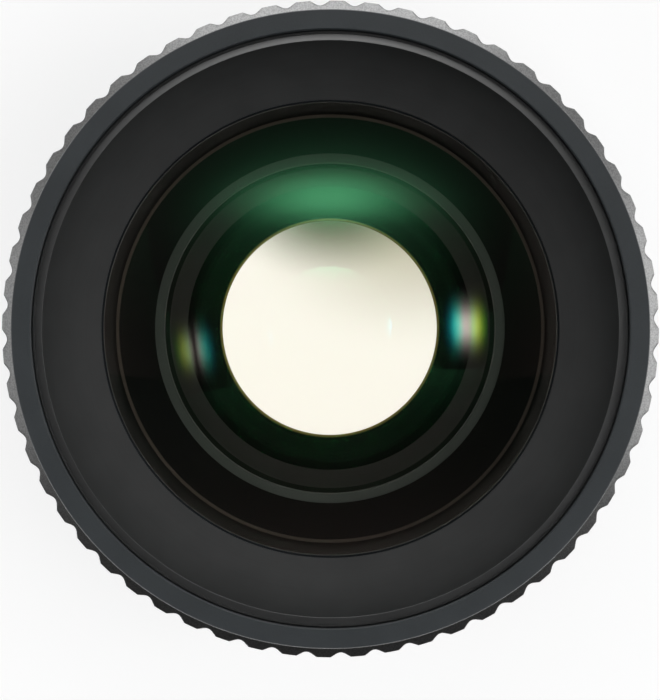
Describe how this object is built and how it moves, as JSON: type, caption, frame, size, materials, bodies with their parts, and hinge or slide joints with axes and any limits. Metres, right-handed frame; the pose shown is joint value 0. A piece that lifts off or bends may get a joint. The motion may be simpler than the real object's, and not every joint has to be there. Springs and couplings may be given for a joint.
{
  "type": "action camera conversion lens",
  "caption": "Round afocal converter lens with a lobed grip ring, a dished front recess, coated glass and a male rear mounting thread.",
  "frame": {"origin": "centre of the rear end face, on which the lens stands", "axes": "+Z along the optical axis towards the front glass; +Y is the top of the picture"},
  "size_m": [0.0496, 0.0496, 0.036],
  "materials": {
    "grip_anodised": "bead blasted, black anodised",
    "barrel_anodised": "satin black anodised",
    "dish_satin": "satin black anodised",
    "inner_black": "matt black",
    "ring_grey_green": "satin grey-green anodised",
    "front_glass": "polished, green coated",
    "inner_glass": "polished, green coated",
    "rubber_black": "matt",
    "screw_steel": "blackened steel",
    "shim_brass": "rolled sheet"
  },
  "bodies": {
    "root": {"grip_ring": "grip_anodised", "grub_screws": "screw_steel", "main_barrel": "barrel_anodised", "dish_ring": "dish_satin", "front_crown_element": "front_glass", "front_flint_element": "front_glass", "front_gasket": "rubber_black", "front_retaining_ring": "inner_black", "front_cell": "inner_black", "cell_seal_ring": "rubber_black", "baffle_cone": "inner_black", "mid_element": "inner_glass", "mid_retaining_ring": "ring_grey_green", "mid_spacer": "inner_black", "rear_element": "inner_glass", "rear_cell": "inner_black", "rear_stop_ring": "inner_black", "focus_shim": "shim_brass", "cell_lock_ring": "inner_black", "mount_adapter": "barrel_anodised", "mount_screws": "screw_steel", "mount_cushion_ring": "rubber_black"}
  },
  "joints": []
}
